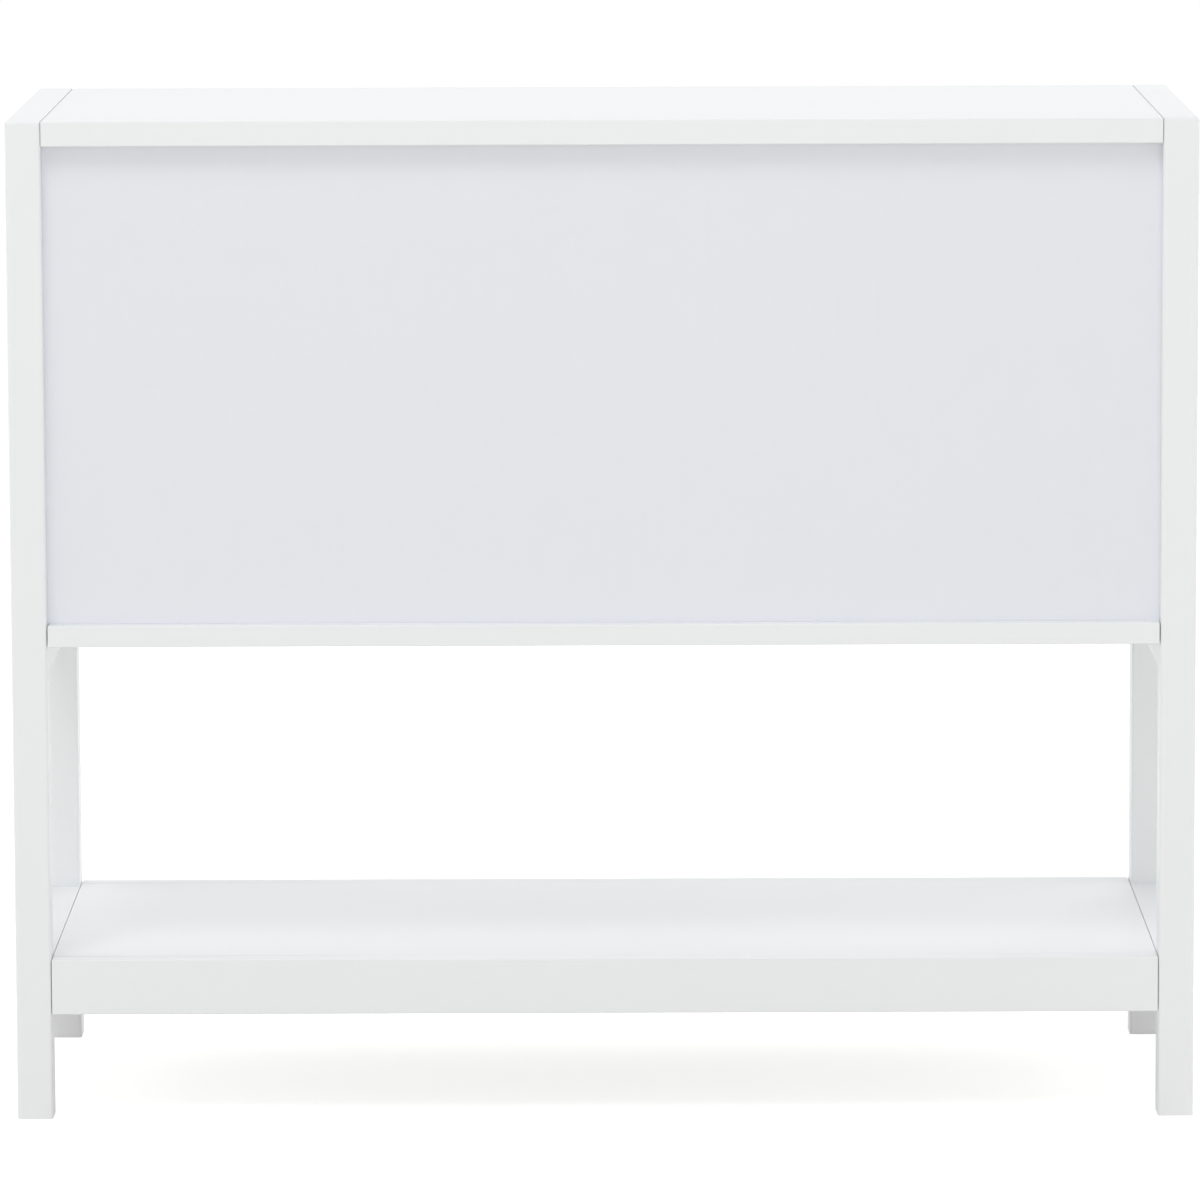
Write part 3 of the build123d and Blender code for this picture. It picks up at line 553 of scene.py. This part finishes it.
class ConsoleSizes(bpy.types.PropertyGroup):
    """Sizes of the small fixings."""

    runner_space: length("Runner space", "Room between a drawer side and the cabinet side", 12.5 * MM)
    steel_t: length("Runner steel", "Thickness of the runners' steel", 1.2 * MM)
    channel_mid: length("Channel middle", "Height of its middle over a drawer side's edge", 7.7 * MM)
    channel_screw_r: length("Channel screw radius", "Radius of the heads in the cabinet runners", 3.6 * MM)
    channel_screw_h: length("Channel screw height", "Height of the heads in the cabinet runners", 0.95 * MM)
    channel_screw_recess: length("Channel screw recess", "Depth of their cross recess", 0.7 * MM)
    lip_screw_r: length("Lip screw radius", "Radius of the heads under the drawers", 3.2 * MM)
    lip_screw_h: length("Lip screw height", "Height of the heads under the drawers", 1.3 * MM)
    lip_screw_recess: length("Lip screw recess", "Depth of their cross recess", 0.9 * MM)
    knob_screw_r: length("Knob screw radius", "Radius of the knob screws' heads", 4.0 * MM)
    knob_screw_h: length("Knob screw height", "Height of the knob screws' heads", 2.3 * MM)
    knob_screw_recess: length("Knob screw recess", "Depth of their cross recess", 1.5 * MM)
    box_screw_r: length("Box screw radius", "Radius of the heads in the drawer sides", 3.5 * MM)
    box_screw_h: length("Box screw height", "Height of the heads in the drawer sides", 0.8 * MM)
    box_screw_recess: length("Box screw recess", "Depth of their cross recess", 0.5 * MM)
    cam_r: length("Drawer cam radius", "Radius of the cams inside the drawer sides", 6.0 * MM)
    cam_h: length("Drawer cam height", "How far the cams stand out of the drawer sides", 0.7 * MM)
    cam_recess: length("Drawer cam recess", "Depth of their cross recess", 0.45 * MM)
    cam_reach: length("Drawer cam reach", "Distance of the cams behind the drawer front", 24.0 * MM)
    fixing_rise: length("Lower fixings", "Height of the lower fixings over a drawer side's edge", 48.0 * MM)
    fixing_drop: length("Upper fixings", "Depth of the upper fixings under a drawer side's top", 30.0 * MM)


class ConsoleColours(bpy.types.PropertyGroup):
    """Colours of the finishes."""

    lacquer: tint("Lacquer", "White lacquer on frames, boards and drawer fronts", (0.864, 0.878, 0.890))
    back_board: tint("Back board", "Painted hardboard at the back", (0.812, 0.825, 0.874))
    drawer_board: tint("Drawer board", "Foil on the drawer boxes", (0.800, 0.798, 0.785))
    bare_fibre: tint("Bare fibre", "Underside of the drawer bottoms", (0.270, 0.165, 0.092))
    knob: tint("Knob", "Satin nickel", (0.530, 0.512, 0.480))
    runner: tint("Runner", "Baked coat on the runners", (0.780, 0.780, 0.765))
    nylon: tint("Nylon", "Rollers", (0.760, 0.735, 0.660))
    beech: tint("Beech", "Dowels", (0.560, 0.380, 0.220))
    fixing: tint("Fixing", "Plated screws and cast cams", (0.640, 0.645, 0.650))


class ConsoleStudio(bpy.types.PropertyGroup):
    """Camera and light."""

    camera_place: FloatVectorProperty(
        name="Camera place", description="Where the camera stands", default=(-0.0125, 6.7347, 1.3346),
        size=3, subtype="TRANSLATION", unit="LENGTH",
    )
    camera_yaw: angle("Yaw", "Turn to the right from square on", -0.135)
    camera_pitch: angle("Pitch", "Tilt down from level", 7.77)
    camera_roll: angle("Roll", "Turn of the picture", -0.21)
    lens: FloatProperty(
        name="Lens", description="Focal length in millimetres", default=234.28, unit="CAMERA"
    )
    room: FloatProperty(
        name="Room light", description="Strength of the light from all round", default=0.700
    )
    sky: tint("Upper room", "Colour of the light from above", (0.985, 0.995, 1.0))
    ground: tint("Lower room", "Colour of the light from below", (1.0, 0.990, 0.970))
    floor: tint("Floor", "Colour of the floor in the table's shadow", (0.785, 0.770, 0.735))
    floor_half: length("Floor half", "Distance from the floor's middle to its edge", 14.0)
    floor_rise: length("Floor rise", "Height of the floor over the feet's undersides", 0.1 * MM)
    glow: tint("Floor glow", "Colour that makes the lit floor white", (0.975, 0.985, 1.0))
    glow_strength: FloatProperty(
        name="Glow strength", description="Strength of the floor's glow", default=0.60
    )


# Operators, one for each group of like pieces

class CONSOLE_OT_side_frames(bpy.types.Operator):
    """Lacquer the legs, rails and side panels"""

    bl_idname = "console.side_frames"
    bl_label = "Side frames"

    def execute(self, context):
        pieces = ("front_leg", "back_leg", "top_rail", "cabinet_rail", "shelf_rail", "side_panel")
        paint_nodes("white_lacquer", [side + "_" + piece for side in SIDES for piece in pieces])
        return {"FINISHED"}


class CONSOLE_OT_boards(bpy.types.Operator):
    """Lacquer the top, the cabinet boards and the low shelf"""

    bl_idname = "console.boards"
    bl_label = "Boards"

    def execute(self, context):
        paint_nodes("white_lacquer", ("table_top", "cabinet_bottom", "centre_divider"))
        paint_nodes("white_lacquer", ("lower_shelf", "shelf_front_apron", "shelf_back_apron"))
        return {"FINISHED"}


class CONSOLE_OT_back_panel(bpy.types.Operator):
    """Paint the thin back panel"""

    bl_idname = "console.back_panel"
    bl_label = "Back panel"

    def execute(self, context):
        paint_nodes("back_board", ("back_panel",))
        return {"FINISHED"}


class CONSOLE_OT_drawers(bpy.types.Operator):
    """Finish the drawer fronts, boxes and bottoms"""

    bl_idname = "console.drawers"
    bl_label = "Drawers"

    def execute(self, context):
        paint_nodes("white_lacquer", per_drawer("front"))
        paint_nodes("drawer_board", per_drawer("left_side", "right_side", "back"))
        paint_nodes("drawer_hardboard", per_drawer("bottom"))
        return {"FINISHED"}


class CONSOLE_OT_knobs(bpy.types.Operator):
    """Finish the knobs and add the screws that hold them"""

    bl_idname = "console.knobs"
    bl_label = "Knobs"

    def execute(self, context):
        paint_nodes("knob_metal", per_drawer("knob"))
        for drawer in DRAWERS:
            knob = middle(drawer + "_knob")
            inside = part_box(drawer + "_front")[1].y
            seat = (Vector((knob.x, inside, knob.z)), (0, 1, 0))
            fix_heads(context, drawer + "_knob_screw", drawer, "fitting_steel", "knob_screw", [seat])
        return {"FINISHED"}


class CONSOLE_OT_runners(bpy.types.Operator):
    """Finish the runners and rollers and add the runners' screws"""

    bl_idname = "console.runners"
    bl_label = "Runners"

    def execute(self, context):
        sizes = context.scene.console_sizes
        paint_nodes("runner_steel", ["cabinet_runners"] + per_drawer("runners"))
        paint_nodes("roller_nylon", per_drawer("front_rollers", "rear_rollers"))
        web = sizes.runner_space - sizes.steel_t
        in_channels = []
        for drawer in DRAWERS:
            front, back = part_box(drawer + "_runners")
            under = []
            for way, outer, inner, low, high in drawer_sides(drawer):
                for y in spread(front.y, back.y, CHANNEL_SCREWS):
                    seat = Vector((outer + way * web, y, low.z + sizes.channel_mid))
                    in_channels.append((seat, (-way, 0, 0)))
                for y in spread(front.y, back.y, LIP_SCREWS):
                    seat = Vector(((outer + inner) / 2, y, low.z - sizes.steel_t))
                    under.append((seat, (0, 0, -1)))
            fix_heads(context, drawer + "_runner_screws", drawer, "fitting_steel", "lip_screw", under)
        fix_heads(context, "cabinet_runner_screws", "table", "fitting_steel", "channel_screw", in_channels)
        return {"FINISHED"}


class CONSOLE_OT_box_fixings(bpy.types.Operator):
    """Add the cams, corner screws and bottom screws that hold each drawer box together"""

    bl_idname = "console.box_fixings"
    bl_label = "Drawer box fixings"

    def execute(self, context):
        sizes = context.scene.console_sizes
        for drawer in DRAWERS:
            rear = middle(drawer + "_back").y
            cams = []
            corners = []
            for way, outer, inner, low, high in drawer_sides(drawer):
                for z in (low.z + sizes.fixing_rise, high.z - sizes.fixing_drop):
                    cams.append((Vector((inner, low.y + sizes.cam_reach, z)), (-way, 0, 0)))
                    corners.append((Vector((outer, rear, z)), (way, 0, 0)))
            low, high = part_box(drawer + "_bottom")
            below = [(Vector((x, rear, low.z)), (0, 0, -1)) for x in spread(low.x, high.x, BOTTOM_SCREWS)]
            fix_heads(context, drawer + "_cams", drawer, "fitting_zinc", "cam", cams)
            fix_heads(context, drawer + "_corner_screws", drawer, "fitting_steel", "box_screw", corners)
            fix_heads(context, drawer + "_bottom_screws", drawer, "fitting_steel", "lip_screw", below)
        return {"FINISHED"}


class CONSOLE_OT_joinery(bpy.types.Operator):
    """Finish the dowels, cam fittings and divider screws"""

    bl_idname = "console.joinery"
    bl_label = "Joinery"

    def execute(self, context):
        paint_nodes("beech", ("wooden_dowels",))
        paint_nodes("fitting_steel", ("cam_bolts", "divider_screws"))
        paint_nodes("fitting_zinc", ("cam_locks",))
        return {"FINISHED"}


class CONSOLE_OT_studio(bpy.types.Operator):
    """Set up the floor, the room light, the lamps and the camera"""

    bl_idname = "console.studio"
    bl_label = "Studio"

    def execute(self, context):
        studio = context.scene.console_studio
        context.scene.view_settings.view_transform = "Standard"
        make_floor(context, studio)
        make_room(context, studio)
        for softbox in SOFTBOXES:
            make_lamp(context, softbox)
        make_camera(context, studio)
        return {"FINISHED"}


def make_floor(context, studio):
    """A white floor that keeps the table's shadow and lets a camera below see through it.

    It lies a hair above the feet's undersides, so that light from below reaches them.
    """
    shape = bmesh.new()
    bmesh.ops.create_grid(shape, x_segments=4, y_segments=4, size=studio.floor_half)
    bmesh.ops.translate(shape, verts=shape.verts, vec=(0, 0, studio.floor_rise))
    mesh = bpy.data.meshes.new("studio_floor")
    shape.to_mesh(mesh)
    shape.free()
    material = bpy.data.materials.new("studio_floor_white")
    material.use_nodes = True
    material.node_tree.nodes.clear()
    nodes = Nodes(material.node_tree)
    matt = nodes.add("ShaderNodeBsdfDiffuse", {}, {"Color": rgba(studio.floor)})
    light = {"Color": rgba(studio.glow), "Strength": studio.glow_strength}
    glow = nodes.add("ShaderNodeEmission", {}, light)
    lit = nodes.add("ShaderNodeAddShader", {}, {0: matt, 1: glow})
    above = nodes.add("ShaderNodeMixShader", {}, {0: nodes.seen(), 1: matt, 2: lit})
    clear = nodes.add("ShaderNodeBsdfTransparent", {}, {})
    below = nodes.add("ShaderNodeNewGeometry", {}, {}, "Backfacing")
    surface = nodes.add("ShaderNodeMixShader", {}, {0: below, 1: above, 2: clear})
    nodes.add("ShaderNodeOutputMaterial", {}, {"Surface": surface}, None)
    mesh.materials.append(material)
    floor = bpy.data.objects.new("studio_floor", mesh)
    context.scene.collection.objects.link(floor)


def make_room(context, studio):
    """Soft light from all round, cooler above and warmer below. The camera sees plain white."""
    world = bpy.data.worlds.new("studio_room")
    context.scene.world = world
    world.use_nodes = True
    world.node_tree.nodes.clear()
    nodes = Nodes(world.node_tree)
    height = nodes.axes(nodes.add("ShaderNodeTexCoord", {}, {}, "Generated"))[2]
    colour = nodes.mix(nodes.ramp(height, -0.6, 0.8), rgba(studio.ground), rgba(studio.sky))
    strength = studio.room * (ROOM_EVEN + ROOM_HORIZON * (1.0 - abs(height)) ** 2.0)
    room = nodes.add("ShaderNodeBackground", {}, {"Color": colour, "Strength": strength})
    plain = {"Color": (1.0, 1.0, 1.0, 1.0), "Strength": 1.0}
    white = nodes.add("ShaderNodeBackground", {}, plain)
    surface = nodes.add("ShaderNodeMixShader", {}, {0: nodes.seen(), 1: room, 2: white})
    nodes.add("ShaderNodeOutputWorld", {}, {"Surface": surface}, None)


def make_lamp(context, softbox):
    """A square softbox turned to the table's middle."""
    data = bpy.data.lights.new(softbox.name, "AREA")
    data.shape = "SQUARE"
    data.size = softbox.side
    data.energy = softbox.power
    lamp = bpy.data.objects.new(softbox.name, data)
    context.scene.collection.objects.link(lamp)
    lamp.location = softbox.place
    lamp.rotation_euler = (LAMP_TARGET - lamp.location).to_track_quat("-Z", "Y").to_euler()
    lamp.visible_glossy = softbox.shows_in_gloss


def make_camera(context, studio):
    """A long lens behind the table, a little above it."""
    data = bpy.data.cameras.new("studio_camera")
    data.sensor_width = SENSOR_WIDTH
    data.lens = studio.lens
    camera = bpy.data.objects.new("studio_camera", data)
    context.scene.collection.objects.link(camera)
    context.scene.camera = camera
    yaw, pitch, roll = studio.camera_yaw, studio.camera_pitch, studio.camera_roll
    flat = Vector((-math.sin(yaw), -math.cos(yaw), 0.0))
    forward = flat * math.cos(pitch) - Vector((0, 0, math.sin(pitch)))
    level = Vector((-math.cos(yaw), math.sin(yaw), 0.0))
    upright = level.cross(forward)
    right = level * math.cos(roll) + upright * math.sin(roll)
    up = upright * math.cos(roll) - level * math.sin(roll)
    turn = Matrix((right, up, -forward)).transposed()
    camera.matrix_world = Matrix.Translation(studio.camera_place) @ turn.to_4x4()


OPERATORS = (
    CONSOLE_OT_side_frames,
    CONSOLE_OT_boards,
    CONSOLE_OT_back_panel,
    CONSOLE_OT_drawers,
    CONSOLE_OT_knobs,
    CONSOLE_OT_runners,
    CONSOLE_OT_box_fixings,
    CONSOLE_OT_joinery,
    CONSOLE_OT_studio,
)


class CONSOLE_PT_sidebar(bpy.types.Panel):
    """Sizes, colours and steps of the console table"""

    bl_idname = "CONSOLE_PT_sidebar"
    bl_label = "White console table"
    bl_space_type = "VIEW_3D"
    bl_region_type = "UI"
    bl_category = "Console"

    def draw(self, context):
        for name, group in GROUPS.items():
            for key in group.__annotations__:
                self.layout.prop(getattr(context.scene, name), key)
        for operator in OPERATORS:
            self.layout.operator(operator.bl_idname)


GROUPS = {
    "console_sizes": ConsoleSizes,
    "console_colours": ConsoleColours,
    "console_studio": ConsoleStudio,
}


def register():
    """Add the classes and the scene's properties."""
    for group in GROUPS.values():
        bpy.utils.register_class(group)
    for name, group in GROUPS.items():
        setattr(bpy.types.Scene, name, PointerProperty(type=group))
    for operator in OPERATORS:
        bpy.utils.register_class(operator)
    bpy.utils.register_class(CONSOLE_PT_sidebar)


def unregister():
    """Remove the scene's properties and the classes."""
    bpy.utils.unregister_class(CONSOLE_PT_sidebar)
    for operator in reversed(OPERATORS):
        bpy.utils.unregister_class(operator)
    for name in GROUPS:
        delattr(bpy.types.Scene, name)
    for group in reversed(GROUPS.values()):
        bpy.utils.unregister_class(group)


def main():
    register()
    bpy.ops.console.side_frames()
    bpy.ops.console.boards()
    bpy.ops.console.back_panel()
    bpy.ops.console.drawers()
    bpy.ops.console.knobs()
    bpy.ops.console.runners()
    bpy.ops.console.box_fixings()
    bpy.ops.console.joinery()
    bpy.ops.console.studio()


if __name__ == "__main__":
    main()
